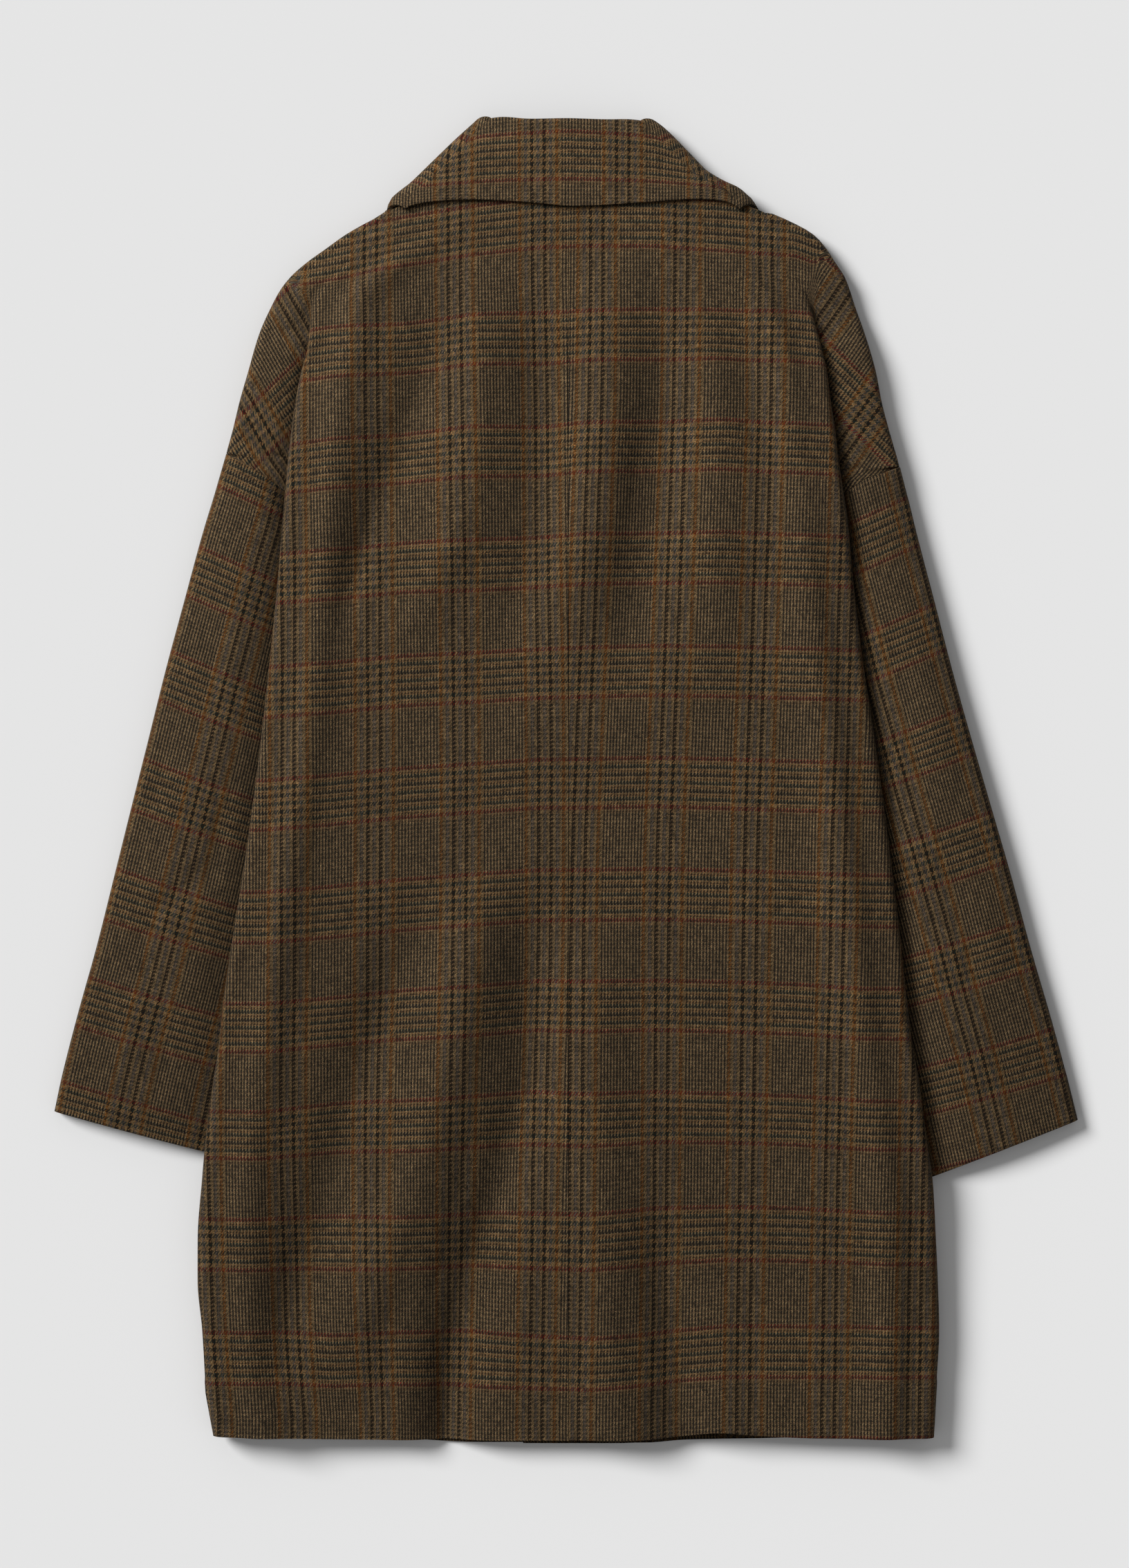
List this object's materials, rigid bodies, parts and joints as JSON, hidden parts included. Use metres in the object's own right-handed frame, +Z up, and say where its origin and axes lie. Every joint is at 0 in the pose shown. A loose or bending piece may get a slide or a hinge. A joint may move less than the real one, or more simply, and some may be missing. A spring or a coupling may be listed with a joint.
{
  "type": "coat",
  "caption": "Long-sleeved coat with a turned-down collar and dropped shoulders, laid face down and flat, to be worn over other clothes.",
  "frame": {"origin": "centre of the underside's outline, on the surface that the coat lies on", "axes": "+Z up from that surface, +Y from the hem towards the collar, +X towards the coat's right sleeve as it is seen from its back"},
  "size_m": [0.7291, 0.942, 0.0278],
  "materials": {
    "wool": "matt"
  },
  "bodies": {
    "root": {"back_left": "wool", "back_right": "wool", "front_left": "wool", "front_right": "wool", "sleeve_left": "wool", "sleeve_right": "wool", "collar": "wool"}
  },
  "joints": []
}
